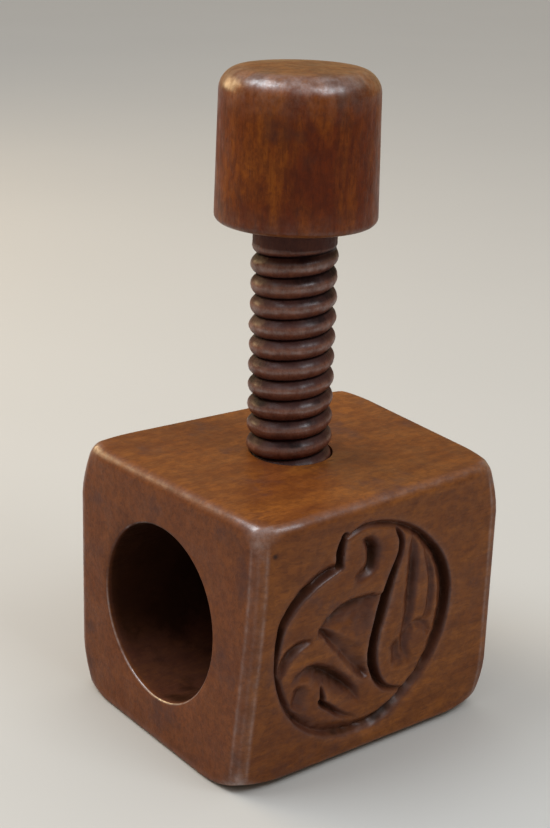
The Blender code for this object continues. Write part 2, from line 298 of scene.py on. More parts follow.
WHORL_CUTS = (
    (RIM_CUT, VEE),
    (HEAD_SLOT, STEEP),
    (MIDDLE_CUT, STEEP),
    (TAIL_CUT, VEE),
    (RECESS_TOP, VEE),
    (RECESS_FOOT, VEE),
    (CRESCENT, VEE),
    (CRESCENT_SLIT, VEE),
    (CRESCENT_NICK, VEE),
    (CRESCENT_EYE, DISH),
    (HEAD_HOLLOW, DISH),
    (LEAF_HOLLOW, DISH),
    (LEAF_SIDE_HOLLOW, DISH),
    (FOOT_HOLLOW, DISH),
    (BUD_TOP, DISH),
    (BUD_SIDE, DISH),
)

# A small dark knot on the carved side, near its front edge
KNOT_PLACE = (0.0368, -0.0319, 0.0624)
KNOT_RADIUS = 0.0011
KNOT_SHARE = 0.9

# How strongly low places are darkened, as dirt and partly painted shade, and crests are lightened,
# as rubbed wear and partly a painted highlight
HOLLOW_GAIN = 1.25
HOLLOW_BASE = 0.50
CREST_GAIN = 1.2

# Where a cut has a wide, soft side, the wood beside it is rounded over: how far, and how deep
SOFT_SIDE_WIDTHS = (0.025, 0.075)
SHOULDER_REACH = 0.15
SHOULDER_SHARE = 0.22

# The whorl's square and its relief, in shares of the whorl's radius and rounds of smoothing
WHORL_SPAN = 1.08
WHORL_BORDER = 0.05
SUNK_EDGE = (1.03, 0.88)
RELIEF_STEPS = 331
SOFTEN_ROUNDS = 4
BLUR_ROUNDS = 120
SPREAD_ROUNDS = 3
GOUGE_UNEVENNESS = 0.22
GOUGE_MARK_SIZE = 0.0024
PATH_STEPS = 10

# Camera, fitted to the photograph: degrees, metres and millimetres of lens
CAMERA_AZIMUTH = 52.076
CAMERA_ELEVATION = 19.613
CAMERA_ROLL = -1.719
CAMERA_PLACE = Vector((0.29606, -0.23529, 0.21447))
CAMERA_LENS = 68.86

# How finely the round pieces, the thread and the whorl's square are divided
ROUND_SEGMENTS = 128
THREAD_SEGMENTS = 96
RIDGE_SEGMENTS = 12
WHORL_GRID_CUTS = 260

# How squarely a surface cuts across the grain where end grain starts to show, and where it is full
END_GRAIN_FACING = (0.35, 0.85)

# Layers of the wood's figure: how much each is drawn out along the grain, its noise's scale,
# detail, roughness and distortion, and the levels at which it starts and is full
FIGURE_LAYERS = {
    "Figure": (0.35, 85, 4, 0.60, 0.8, 0.34, 0.66),
    "Streak": (0.14, 420, 5, 0.65, 0.4, 0.36, 0.64),
    "Fibre": (0.05, 2300, 2, 0.60, 0.0, 0.38, 0.62),
    "Pore": (0.22, 1500, 2, 0.50, 0.2, 0.56, 0.70),
    "Mottle": (0.70, 520, 6, 0.72, 0.3, 0.38, 0.62),
}

# How much of the dark colour each layer brings, and how fully each kind of wear, painted sheen and
# painted shade covers the wood
DARK_SHARES = {"Streak": 0.22, "Fibre": 0.12, "Mottle": 0.45, "Pore": 0.32}
END_SHARE = 0.65
RUBBED_AND_SHEEN_SHARE = 0.45
HAZE_AND_SHADE_SHARE = 0.6
WAX_AND_SHADE_SHARE = 0.92

# How low a place has to lie to be clouded by old wax and painted shade, and to be filled by dark wax
# and deeper painted shade
HAZE_AND_SHADE_LEVELS = (0.09, 0.50)
WAX_AND_SHADE_LEVELS = (0.45, 1.00)

# Noise levels between which the rubbed wood breaks up into patches, old wax gathers in clouds
# and the lacquer goes from glossy to dull, and what the patches and clouds add up to
PATCH_LEVELS = (0.30, 0.70)
PATCH_LEAST = 0.35
PATCH_SHARE = 0.12
CLOUD_LEVELS = (0.48, 0.72)
CLOUD_SHARE = 0.36
GLOSS_LEVELS = (0.30, 0.70)
WAX_GLOSS = 0.2

# Heights on the surface, as shares of the waves that hand shaping left
LUMP_HEIGHT = 0.28
GRAIN_HEIGHT = 0.05
PORE_DEPTH = 0.04

# Softboxes: place, size, watts and colour. All face the same point.
LIGHT_TARGET = Vector((0, 0, 0.12))
SOFTBOXES = {
    "left_window": (Vector((-0.27, -0.43, 0.94)), (0.50, 0.36), 4.4, (0.88, 0.94, 1.0)),
    "right_window": (Vector((0.64, 0.16, 0.86)), (0.45, 0.36), 3.4, (0.86, 0.93, 1.0)),
    "warm_side": (Vector((-0.80, -0.30, 0.42)), (0.50, 0.40), 3.4, (1.0, 0.72, 0.38)),
}

# Sky, backdrop and floor. The sky's warm part lies behind the block and its cool part overhead,
# and each sets in and is full where a direction points this squarely there.
SKY_LOW = (0.26, 0.22, 0.17)
SKY_WARM = (0.44, 0.35, 0.19)
SKY_WARM_FACING = (-0.10, 0.80)
SKY_HIGH = (1.00, 1.01, 1.05)
SKY_HIGH_FACING = (0.35, 0.95)
BACKDROP = (0.72, 0.70, 0.66)
FLOOR_COLOUR = (0.52, 0.51, 0.48)
FLOOR_HALF_WIDTH = 4.0


def smooth(value):
    """0 below 0, 1 above 1, and an S-curve between, for a number or an array."""
    value = np.clip(value, 0.0, 1.0)
    return value * value * (3 - 2 * value)


def ramp(value, start, end):
    """An S-curve from 0 at the start to 1 at the end, for a number or an array."""
    return smooth((value - start) / (end - start))


def lean_of(x, y, z):
    """How far the block's wood is shifted at a place in the square block."""
    across = x / (BLOCK_X / 2)
    along = y / (BLOCK_Y / 2)
    share = (1 - across * along) / 2 * z / BLOCK_HEIGHT
    return LEAN_X * share, LEAN_Y * share


# Geometry helpers


def mesh_object(name, bm):
    """A new object in the scene with the mesh, whose normals face outward."""
    bmesh.ops.recalc_face_normals(bm, faces=bm.faces)
    mesh = bpy.data.meshes.new(name)
    bm.to_mesh(mesh)
    bm.free()
    obj = bpy.data.objects.new(name, mesh)
    bpy.context.scene.collection.objects.link(obj)
    return obj


def cut_away(obj, cutters):
    """Cuts helper solids out of an object, keeps the result as its mesh and removes the helpers."""
    for cutter in cutters:
        modifier = obj.modifiers.new(cutter.name, "BOOLEAN")
        modifier.operation = "DIFFERENCE"
        modifier.solver = "EXACT"
        modifier.object = cutter
    graph = bpy.context.evaluated_depsgraph_get()
    mesh = bpy.data.meshes.new_from_object(obj.evaluated_get(graph))
    obj.modifiers.clear()
    obj.data = mesh
    for cutter in cutters:
        bpy.data.objects.remove(cutter)


def finish_piece(obj, material, body, node, sharp_degrees):
    """Shades a piece, gives it its material and ties it to its place in the model."""
    obj.data.shade_smooth()
    obj.data.set_sharp_from_angle(angle=math.radians(sharp_degrees))
    obj.data.materials.clear()
    obj.data.materials.append(material)
    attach(obj, body)
    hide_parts(node)


def cut_plane(bm, place, direction, clear=False):
    """Cuts a mesh along a plane, and clears what lies beyond it if asked."""
    bmesh.ops.bisect_plane(
        bm,
        geom=bm.verts[:] + bm.edges[:] + bm.faces[:],
        dist=1e-7,
        plane_co=place,
        plane_no=direction,
        clear_outer=clear,
    )


def add_mask(obj, name, values):
    """Stores a share from 0 to 1 at each point, where it is more than what is stored there."""
    layer = obj.data.attributes.get(name) or obj.data.attributes.new(name, "FLOAT", "POINT")
    stored = np.empty(len(values), np.float32)
    layer.data.foreach_get("value", stored)
    layer.data.foreach_set("value", np.maximum(stored, values).astype(np.float32))


def points_of(obj):
    """The places of an object's points, one a row."""
    flat = np.empty(len(obj.data.vertices) * 3, np.float32)
    obj.data.vertices.foreach_get("co", flat)
    return flat.reshape(-1, 3).astype(float)


def add_end_mask(obj, axis):
    """Stores how squarely each point's surface cuts the grain, along axis 0, 1 or 2."""
    facing = np.array([abs(normal.vector[axis]) for normal in obj.data.vertex_normals])
    add_mask(obj, "end", ramp(facing, *END_GRAIN_FACING))


def arc(centre_radius, centre_height, radius, start, end, steps):
    """Points of a profile's round corner, from one angle to the other in degrees."""
    points = []
    for step in range(steps + 1):
        angle = math.radians(start + (end - start) * step / steps)
        points.append(
            (centre_radius + radius * math.cos(angle), centre_height + radius * math.sin(angle))
        )
    return points


def flared_lip(radius, height, lip):
    """A cutter's profile where it rounds a hole's mouth, then runs past it and back to the axis."""
    points = arc(radius + lip, height - lip, lip, 180, 120, LIP_STEPS)
    end_radius, end_height = points[-1]
    past_height = end_height + PAST
    return points + [(end_radius + PAST * math.sqrt(3), past_height), (0.0, past_height)]


def turned(profile):
    """A solid turned about Z. Its profile's points are (radius, height), from axis to axis."""
    bm = bmesh.new()
    points = [bm.verts.new((radius, 0.0, height)) for radius, height in profile]
    edges = [bm.edges.new(pair) for pair in zip(points, points[1:])]
    bmesh.ops.spin(
        bm,
        geom=points + edges,
        cent=(0, 0, 0),
        axis=(0, 0, 1),
        angle=math.tau,
        steps=ROUND_SEGMENTS,
        use_merge=True,
    )
    bmesh.ops.remove_doubles(bm, verts=bm.verts, dist=CLOSE)
    return bm


# Thread


def ridge(share):
    """The thread's height at a share of its pitch, from 0 in the groove to 1 on the crest."""
    return abs(math.sin(math.pi * share)) ** RIDGE_SHARPNESS


def threaded_tube(low, high, radius_at):
    """An open tube about Z whose grid follows the helix, cut level at both heights.

    radius_at(ridge, place) gives the radius where the ridge's height is 0 to 1.
    """
    groove_height = THREAD_START_HEIGHT - PITCH / 2
    start = groove_height + (math.floor((low - groove_height) / PITCH) - 1) * PITCH
    turns = math.ceil((high - start) / PITCH) + 1
    bm = bmesh.new()
    bmesh.ops.create_grid(
        bm, x_segments=THREAD_SEGMENTS * turns, y_segments=RIDGE_SEGMENTS, size=0.5
    )
    hollow = bm.verts.layers.float.new("hollow")
    for vert in bm.verts:
        turn = (vert.co.x + 0.5) * turns
        share = (1 - math.cos(math.pi * (vert.co.y + 0.5))) / 2
        across = Vector((math.cos(math.tau * turn), math.sin(math.tau * turn), 0))
        height = Vector((0, 0, start + (turn + share) * PITCH))
        radius = radius_at(ridge(share), across * CREST_RADIUS + height)
        vert.co = across * radius + height
        # Painted shade in the grooves and on the upper flanks, partly dirt
        groove = max(ramp(share, *GROOVE_BELOW), ramp(share, *GROOVE_ABOVE))
        vert[hollow] = max(UPPER_FLANK_SHADE * ramp(share, *UPPER_FLANK), groove)
    bmesh.ops.remove_doubles(bm, verts=bm.verts, dist=CLOSE)
    for height, outward in ((low, -1), (high, 1)):
        cut_plane(bm, (0, 0, height), (0, 0, outward), True)
    return bm


def is_level(edge, height):
    """Whether an edge lies flat at a height."""
    return all(abs(vert.co.z - height) < CLOSE for vert in edge.verts)


def rim_at(bm, height):
    """The open rim that lies at a height."""
    return [edge for edge in bm.edges if edge.is_boundary and is_level(edge, height)]


def add_ring(bm, rim, radius, height):
    """Extrudes an open rim to a new radius and height, and returns the new rim."""
    made = bmesh.ops.extrude_edge_only(bm, edges=rim)["geom"]
    verts = {item for item in made if isinstance(item, bmesh.types.BMVert)}
    for vert in verts:
        outward = Vector((vert.co.x, vert.co.y)).normalized() * radius
        vert.co = (outward.x, outward.y, height)
    edges = (item for item in made if isinstance(item, bmesh.types.BMEdge))
    return [edge for edge in edges if set(edge.verts) <= verts]


def close_rim(bm, rim, height):
    """Fills an open rim with triangles that meet on the axis."""
    middle = bm.verts.new((0, 0, height))
    for edge in rim:
        bm.faces.new((*edge.verts, middle))


# Carved whorl


def smooth_path(points):
    """A curve through the points that also smooths what each point carries beside its place."""
    rows = np.array([points[0], *points, points[-1]], float)
    path = []
    for before, start, end, after in zip(rows, rows[1:], rows[2:], rows[3:]):
        for step in range(PATH_STEPS):
            share = step / PATH_STEPS
            path.append(
                start
                + share * 0.5 * (end - before)
                + share**2 * (before - 2.5 * start + 2 * end - 0.5 * after)
                + share**3 * (1.5 * (start - end) + 0.5 * (after - before))
            )
    path.append(rows[-1])
    return path


def cut_depth(across, up, points, section):
    """Depth of one gouge cut at each place, as a share of the carving's depth."""
    square, soft = section
    depth = np.zeros_like(across)
    path = smooth_path(points)
    for start, end in zip(path, path[1:]):
        run_x, run_y = end[:2] - start[:2]
        length = max(run_x**2 + run_y**2, 1e-12)
        share = np.clip(((across - start[0]) * run_x + (up - start[1]) * run_y) / length, 0, 1)
        off_x = across - start[0] - share * run_x
        off_y = up - start[1] - share * run_y
        left, right, deep = (start[i] + share * (end[i] - start[i]) for i in (2, 3, 4))
        width = np.where(run_x * off_y - run_y * off_x > 0, left, right)
        away = np.hypot(off_x, off_y)
        foot = (1 - np.clip(away / width, 0, 1) ** square) ** soft
        reach = width + SHOULDER_REACH * ramp(width, *SOFT_SIDE_WIDTHS)
        shoulder = SHOULDER_SHARE * (1 - np.clip(away / reach, 0, 1)) ** 2
        depth = np.maximum(depth, deep * (foot * (1 - SHOULDER_SHARE) + shoulder))
    return depth


def blurred(values, rounds):
    """Evens each value out with its four neighbours, over and over."""
    for _ in range(rounds):
        values = (
            values
            + np.roll(values, 1, 0)
            + np.roll(values, -1, 0)
            + np.roll(values, 1, 1)
            + np.roll(values, -1, 1)
        ) / 5
    return values


def spread(values, rounds):
    """Lets the largest values grow over their neighbours."""
    for _ in range(rounds):
        for shift in (1, -1):
            for axis in (0, 1):
                values = np.maximum(values, np.roll(values, shift, axis))
    return values


def whorl_relief():
    """The carving's depth, how high its crests stand and how low its hollows lie.

    All are shares of the carving's depth, on a square grid whose rows go up the face.
    """
    steps = np.linspace(-WHORL_SPAN, WHORL_SPAN, RELIEF_STEPS)
    across, up = np.meshgrid(steps, steps)
    depth = np.zeros_like(across)
    for points, section in WHORL_CUTS:
        depth = np.maximum(depth, cut_depth(across, up, points, section))
    depth += SUNK_DEPTH / CARVE_DEPTH * ramp(np.hypot(across, up), *SUNK_EDGE)
    outward = np.maximum(np.abs(across), np.abs(up))
    inside = ramp(outward, WHORL_SPAN, WHORL_SPAN - WHORL_BORDER)
    depth = blurred(depth, SOFTEN_ROUNDS) * inside
    level = blurred(depth, BLUR_ROUNDS)
    return depth, level - depth, spread(depth, SPREAD_ROUNDS) - level


def on_face(field, y, z):
    """Reads a field of the whorl's grid at places on the carved face."""
    places = np.stack([z - WHORL_CENTRE_HEIGHT, y - WHORL_CENTRE_Y]) / WHORL_RADIUS
    places = (places / WHORL_SPAN + 1) / 2 * (RELIEF_STEPS - 1)
    # Kept just short of the last step, so that there is always a next one
    places = np.clip(places, 0, RELIEF_STEPS - 1.001)
    row, column = places.astype(int)
    up, along = places % 1
    low = field[row, column] * (1 - along) + field[row, column + 1] * along
    high = field[row + 1, column] * (1 - along) + field[row + 1, column + 1] * along
    return low * (1 - up) + high * up


# Block


def eased_block():
    """The square block with its edges rounded and each face ready for its own grid."""
    bm = bmesh.new()
    bmesh.ops.create_cube(bm, size=1.0)
    for vert in bm.verts:
        vert.co = Vector(
            (vert.co.x * BLOCK_X, vert.co.y * BLOCK_Y, (vert.co.z + 0.5) * BLOCK_HEIGHT)
        )
    uprights = [edge for edge in bm.edges if abs(edge.verts[0].co.z - edge.verts[1].co.z) > PAST]
    round_edges(bm, uprights, UPRIGHT_ROUND)
    for height, radius in ((0.0, BASE_ROUND), (BLOCK_HEIGHT, RIM_ROUND)):
        round_edges(bm, [edge for edge in bm.edges if is_level(edge, height)], radius)
    return bm


def round_edges(bm, edges, radius):
    """Rounds the edges of a bmesh to a radius."""
    bmesh.ops.bevel(
        bm,
        geom=edges,
        offset=radius,
        segments=EDGE_SEGMENTS,
        profile=0.5,
        affect="EDGES",
        material=-1,
    )


def grid_whorl(bm):
    """Cuts a square round the whorl out of the +X face, and divides it into a fine grid."""
    half = WHORL_RADIUS * WHORL_SPAN
    for side in (-1, 1):
        cut_plane(bm, (0, WHORL_CENTRE_Y + side * half, 0), (0, 1, 0))
        cut_plane(bm, (0, 0, WHORL_CENTRE_HEIGHT + side * half), (0, 0, 1))
    centre = Vector((BLOCK_X / 2, WHORL_CENTRE_Y, WHORL_CENTRE_HEIGHT))
    square = min(bm.faces, key=lambda face: (face.calc_center_median() - centre).length)
    bmesh.ops.subdivide_edges(bm, edges=square.edges[:], cuts=WHORL_GRID_CUTS, use_grid_fill=True)


def cut_near_corners(bm):
    """Cuts across the block near its faces, so that its corners can be eased smoothly."""
    sides = (
        (BLOCK_X / 2, (1, 0, 0), CORNER_REACH),
        (BLOCK_Y / 2, (0, 1, 0), CORNER_REACH),
        (BLOCK_HEIGHT / 2, (0, 0, 1), FRONT_CORNER_DROP),
    )
    for half, axis, reach in sides:
        for step in range(1, round(reach / CORNER_STEP) + 1):
            inward = half - CORNER_STEP * step
            for side in (-1, 1):
                place = Vector(axis) * inward * side + Vector((0, 0, BLOCK_HEIGHT / 2))
                cut_plane(bm, place, axis)


def crisp_far_edge(points):
    """Plan places of the points once the rounding of the crisper +X +Y upright is drawn out."""
    corner = np.array([BLOCK_X, BLOCK_Y]) / 2 - UPRIGHT_ROUND
    beyond = np.clip(points[:, :2] - corner, 1e-9, None)
    growth = np.hypot(*beyond.T) / (beyond**FAR_EDGE_CRISPNESS).sum(1) ** (1 / FAR_EDGE_CRISPNESS)
    inside = (points[:, :2] > corner).all(1)
    return np.where(inside[:, None], corner + beyond * growth[:, None], points[:, :2])


def shaped(points):
    """The square block's points once its corners and foot are worn and it leans out of square."""
    half = np.array([BLOCK_X, BLOCK_Y, BLOCK_HEIGHT]) / 2
    centred = points - [0, 0, half[2]]
    # The eighth of the block round its front top corner, which is worn most
    front = (centred * [1, -1, 1] > 0).all(1)[:, None]
    reach = np.where(front, (CORNER_REACH, CORNER_REACH, FRONT_CORNER_DROP), CORNER_REACH)
    near = np.clip((np.abs(centred) - half) / reach + 1, 0, 1) ** CORNER_ROUNDNESS
    ease = np.where(centred[:, 2:] > 0, TOP_CORNER_EASE, BASE_CORNER_EASE)
    ease = np.where(front, FRONT_CORNER_EASE, ease)
    worn = points - np.sign(centred) * near.prod(1)[:, None] * ease
    outward = np.clip((points[:, 0] - half[0]) / FOOT_WEAR_WIDTH + 1, 0, 1)
    low = np.clip(1 - points[:, 2] / FOOT_WEAR_HEIGHT, 0, 1)
    worn[:, 2] += FOOT_WEAR * (outward * low) ** 2
    worn[:, :2] = crisp_far_edge(worn)
    lean_x, lean_y = lean_of(*worn.T)
    return worn + np.stack([lean_x, lean_y, np.zeros(len(points))], 1)


def bore_cutter():
    """The bore, with a lip that follows the leaning front face."""
    end_y = BLOCK_Y / 2 - BORE_END_WALL
    length = end_y + BLOCK_Y / 2
    floor_round = BORE_FLOOR_ROUND
    profile = [(0.0, 0.0)]
    profile += arc(BORE_RADIUS - floor_round, floor_round, floor_round, -90, 0, LIP_STEPS)
    profile += [(BORE_RADIUS, length * share) for share in BORE_MOUTH_RINGS]
    profile += flared_lip(BORE_RADIUS, length, BORE_LIP)
    bm = turned(profile)
    for vert in bm.verts:
        x, y = BORE_OFFSET_X + vert.co.x, end_y - vert.co.z
        z = BORE_AXIS_HEIGHT + vert.co.y * BORE_TALLER
        lean_y = lean_of(x, -BLOCK_Y / 2, z)[1]
        vert.co = (x, y + lean_y * float(ramp(-y, BLOCK_Y / 4, BLOCK_Y / 2)), z)
    return mesh_object("bore_cutter", bm)


def screw_hole_cutter():
    """The screw's own thread, larger by the clearance, from inside the bore to above the block."""
    reach = CREST_RADIUS + THREAD_CLEARANCE + abs(BORE_OFFSET_X)
    low = BORE_AXIS_HEIGHT + math.sqrt(BORE_RADIUS**2 - reach**2) - PAST
    high = BLOCK_HEIGHT + PAST

    def radius_at(height, _):
        return ROOT_RADIUS + THREAD_CLEARANCE + THREAD_DEPTH * height

    bm = threaded_tube(low, high, radius_at)
    for height in (low, high):
        close_rim(bm, rim_at(bm, height), height)
    return mesh_object("screw_hole_cutter", bm)


def hole_mouth_cutter():
    """A turned cone that opens the threaded hole's mouth to a plain round lip."""
    radius = ROOT_RADIUS + THREAD_CLEARANCE
    tip = (0.0, BLOCK_HEIGHT - HOLE_LIP - radius)
    profile = [tip, *flared_lip(radius, BLOCK_HEIGHT, HOLE_LIP)]
    return mesh_object("hole_mouth_cutter", turned(profile))


def block_edges(points):
    """How rubbed each point of the square block is by wear of its edges; along the edges, most at
    the corners, the lighter colour is partly a painted sheen.
    """
    half = np.array([BLOCK_X, BLOCK_Y, BLOCK_HEIGHT]) / 2
    from_sides = half - np.abs(points - [0, 0, half[2]])
    from_line = np.abs(from_sides[:, :2].max(1) - UPRIGHT_LINE_INSET)
    line = UPRIGHT_LINE_WEAR * ramp(from_line, UPRIGHT_LINE_WIDTH, 0)
    _, second, third = np.sort(from_sides, 1).T
    corner = ramp(third, CORNER_WEAR_REACH, 0)
    edge = ramp(second, EDGE_WEAR_WIDTH * (1 + CORNER_WEAR_SPREAD * corner), 0)
    return np.maximum(edge * (1 + (corner - 1) * CORNER_WEAR_AND_SHEEN_GAIN), line)


def from_bore_axis(points):
    """How far each point is from the bore's axis, and how far below it, as shares of the radius."""
    below = (BORE_AXIS_HEIGHT - points[:, 2]) / (BORE_RADIUS * BORE_TALLER)
    return np.hypot((points[:, 0] - BORE_OFFSET_X) / BORE_RADIUS, below), below


def bore_painted_shade(points):
    """How much painted shade each point inside the bore gets: less on its floor, which would catch
    some light.
    """
    radius, below = from_bore_axis(points)
    inside = radius < 1 + BORE_LIP / BORE_RADIUS / 2
    shade = BORE_SHADE * (1 - BORE_FLOOR_LIGHT * ramp(below, *BORE_FLOOR_BELOW))
    return inside * ramp(points[:, 1] + BLOCK_Y / 2, 0, BORE_SHADE_DEPTH) * shade


def lip_painted_highlight(points):
    """How much painted highlight the bore's rounded lip gets: most at its lower half."""
    radius, below = from_bore_axis(points)
    across = (radius - 1) * BORE_RADIUS / BORE_LIP
    start, end = LIP_HIGHLIGHT_ACROSS
    near_mouth = np.abs(points[:, 1] + BLOCK_Y / 2) < 2 * LEAN_Y
    on_lip = (across > start) & (across < end) & near_mouth
    return on_lip * ramp(below, *LIP_HIGHLIGHT_BELOW)


def hole_painted_shade(points):
    """How far inside the threaded hole each point is, which sets how much painted shade it gets."""
    wall = CREST_RADIUS + THREAD_CLEARANCE + HOLE_SHADE_MARGIN
    inside = np.hypot(points[:, 0], points[:, 1]) < wall
    return inside * ramp(BLOCK_HEIGHT - points[:, 2], 0, HOLE_SHADE_DEPTH)


def build_block():
    """The block: square first, then gridded, worn, leaned, carved and bored."""
    bm = eased_block()
    grid_whorl(bm)
    cut_near_corners(bm)
    flat = np.array([vert.co for vert in bm.verts])
    points = shaped(flat)
    depth, high, low = (on_face(field, points[:, 1], points[:, 2]) for field in whorl_relief())
    # Crests are lightened as rubbed wear and partly a painted highlight; low places are darkened as
    # dirt and partly painted shade
    crests = np.clip(CREST_GAIN * high, 0, 1)
    hollows = np.clip(HOLLOW_GAIN * low + HOLLOW_BASE * depth, 0, 1)
    edges = block_edges(flat)
    edge, crest, hollow = (bm.verts.layers.float.new(name) for name in ("edge", "crest", "hollow"))
    on_carved_face = flat[:, 0] > BLOCK_X / 2 - CLOSE
    for index, vert in enumerate(bm.verts):
        vert.co = points[index]
        vert[edge] = edges[index]
        if on_carved_face[index]:
            gouge = 1 + GOUGE_UNEVENNESS * noise.noise(vert.co / GOUGE_MARK_SIZE)
            vert.co.x -= depth[index] * CARVE_DEPTH * gouge
            vert[crest], vert[hollow] = crests[index], hollows[index]
    block = mesh_object("block_body", bm)
    cut_away(block, [bore_cutter(), screw_hole_cutter(), hole_mouth_cutter()])
    points = points_of(block)
    # Painted shade inside the bore and the threaded hole
    add_mask(block, "hollow", np.maximum(bore_painted_shade(points), hole_painted_shade(points)))
    # A painted highlight on the bore's lower lip
    add_mask(block, "edge", lip_painted_highlight(points))
    add_end_mask(block, 1)
    finish_piece(block, block_wood(), "block", "block", sharp_degrees=30)


# Screw and knob


def uneven(place, size, amount):
    """How much wood hand work took off at a place, from 0 to twice the amount."""
    return amount * (1 + noise.noise(place / size))


def build_screw():
    """The screw: its thread, a rounded nose below, and above a plain neck with the dowel's hole."""
    low = SCREW_LOW.z + NOSE_LENGTH

    def radius_at(height, place):
        crest = THREAD_DEPTH * height - uneven(place, THREAD_LUMP_SIZE, THREAD_LUMP * height)
        thread = ROOT_RADIUS + crest - uneven(place, THREAD_CHATTER_SIZE, THREAD_CHATTER)
        above_nose = float(ramp(place.z - low, 0, THREAD_RUN_OUT))
        below_neck = float(ramp(THREAD_TOP_HEIGHT - place.z, 0, THREAD_RUN_OUT))
        radius = ROOT_RADIUS + (thread - ROOT_RADIUS) * above_nose
        return NECK_RADIUS + (radius - NECK_RADIUS) * below_neck

    bm = threaded_tube(low, THREAD_TOP_HEIGHT, radius_at)
    rim = rim_at(bm, low)
    for degrees in range(NOSE_RING_DEGREES, 90, NOSE_RING_DEGREES):
        angle = math.radians(degrees)
        radius = ROOT_RADIUS * (NOSE_FLAT_SHARE + (1 - NOSE_FLAT_SHARE) * math.cos(angle))
        rim = add_ring(bm, rim, radius, low - NOSE_LENGTH * math.sin(angle))
    rim = add_ring(bm, rim, ROOT_RADIUS * NOSE_FLAT_SHARE, SCREW_LOW.z)
    close_rim(bm, rim, SCREW_LOW.z)
    hole_radius = DOWEL_HIGH.x + GLUE_GAP
    hole_bottom = DOWEL_LOW.z - GLUE_GAP
    rim = rim_at(bm, THREAD_TOP_HEIGHT)
    rim = add_ring(bm, rim, NECK_RADIUS, SCREW_HIGH.z)
    rim = add_ring(bm, rim, hole_radius, SCREW_HIGH.z)
    rim = add_ring(bm, rim, hole_radius, hole_bottom)
    close_rim(bm, rim, hole_bottom)
    screw = mesh_object("screw_body", bm)
    points = points_of(screw)
    # The crests are lightened as rubbed wear and partly as a painted sheen
    from_root = np.hypot(points[:, 0], points[:, 1]) - ROOT_RADIUS
    ridge_wear_and_sheen = RIDGE_WEAR_AND_SHEEN * ramp(np.clip(from_root / THREAD_DEPTH, 0, 1), RIDGE_WEAR_AND_SHEEN_START, 1)
    past_thread = points[:, 2] - THREAD_TOP_HEIGHT
    add_mask(screw, "edge", ridge_wear_and_sheen * (past_thread < 0))
    # The neck under the knob is darkened as painted shade
    add_mask(screw, "hollow", NECK_SHADE * ramp(past_thread, -PITCH / 4, PITCH / 4))
    add_end_mask(screw, 2)
    finish_piece(screw, screw_wood(), "screw", "screw", sharp_degrees=60)


def build_knob():
    """The knob: a turned, slightly tapering drum with a blind socket and the dowel's hole in it."""
    socket_radius = NECK_RADIUS + GLUE_GAP
    hole_radius = DOWEL_HIGH.x + GLUE_GAP
    hole_top = DOWEL_HIGH.z + GLUE_GAP
    side_bottom = KNOB_HIGH.x - KNOB_BOTTOM_ROUND
    side_top = KNOB_TOP_RADIUS - KNOB_TOP_ROUND
    rim_height = KNOB_HIGH.z - KNOB_CROWN
    bottom_centre = (side_bottom, KNOB_LOW.z + KNOB_BOTTOM_ROUND)
    top_centre = (side_top, rim_height - KNOB_TOP_ROUND)
    bottom_round = arc(*bottom_centre, KNOB_BOTTOM_ROUND, -90, 0, KNOB_BOTTOM_STEPS)
    top_round = arc(*top_centre, KNOB_TOP_ROUND, 0, 90, KNOB_TOP_STEPS)
    profile = [(0.0, hole_top), (hole_radius, hole_top), (hole_radius, SOCKET_TOP_HEIGHT)]
    profile += [(socket_radius, SOCKET_TOP_HEIGHT), (socket_radius, KNOB_LOW.z)]
    profile += bottom_round
    low, high = Vector(bottom_round[-1]), Vector(top_round[0])
    for step in range(1, KNOB_SIDE_STEPS):
        profile.append(tuple(low.lerp(high, step / KNOB_SIDE_STEPS)))
    profile += top_round
    for step in range(1, KNOB_CROWN_STEPS + 1):
        share = 1 - step / KNOB_CROWN_STEPS
        profile.append((side_top * share, rim_height + KNOB_CROWN * (1 - share**2)))
    knob = mesh_object("knob_body", turned(profile))
    points = points_of(knob)
    radius = np.hypot(points[:, 0], points[:, 1])
    from_top = KNOB_HIGH.z - points[:, 2]
    from_side = KNOB_HIGH.x - radius
    from_foot = points[:, 2] - KNOB_LOW.z
    # The top rim, and less the foot, are lightened as rubbed wear and partly as a painted sheen
    top_edge = ramp(from_top + from_side, 2 * KNOB_TOP_ROUND, 0)
    foot_edge = ramp(from_foot + from_side, 2 * KNOB_BOTTOM_ROUND, 0)
    add_mask(knob, "edge", np.maximum(top_edge, KNOB_FOOT_WEAR * foot_edge))
    add_end_mask(knob, 2)
    finish_piece(knob, knob_wood(), "screw", "knob", sharp_degrees=40)


def finish_dowel():
    """The hidden dowel keeps its own solid, and only gets its wood."""
    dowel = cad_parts["knob_dowel"]
    dowel.data.materials.clear()
    dowel.data.materials.append(dowel_wood())


# Shader helpers


def new_node(tree, kind, values=None, **settings):
    """A node with its settings, and inputs that are each set to a value or linked to a socket."""
    node = tree.nodes.new(kind)
    for name, value in settings.items():
        setattr(node, name, value)
    for socket, value in (values or {}).items():
        if isinstance(value, bpy.types.NodeSocket):
            tree.links.new(value, node.inputs[socket])
        else:
            node.inputs[socket].default_value = value
    return node


def new_group(name, inputs, outputs):
    """An empty node group with its input and output nodes, from maps of names to kinds."""
    tree = bpy.data.node_groups.new(name, "ShaderNodeTree")
    for in_out, sockets in (("INPUT", inputs), ("OUTPUT", outputs)):
        for socket, kind in sockets.items():
            tree.interface.new_socket(socket, in_out=in_out, socket_type=kind)
    return tree, tree.nodes.new("NodeGroupInput"), tree.nodes.new("NodeGroupOutput")


def noise_value(tree, vector, scale, detail, roughness=0.5, distortion=0.0):
    """A cloudy value round 0.5 that changes over the surface."""
    values = {
        "Vector": vector,
        "Scale": scale,
        "Detail": detail,
        "Roughness": roughness,
        "Distortion": distortion,
    }
    return new_node(tree, "ShaderNodeTexNoise", values).outputs["Fac"]


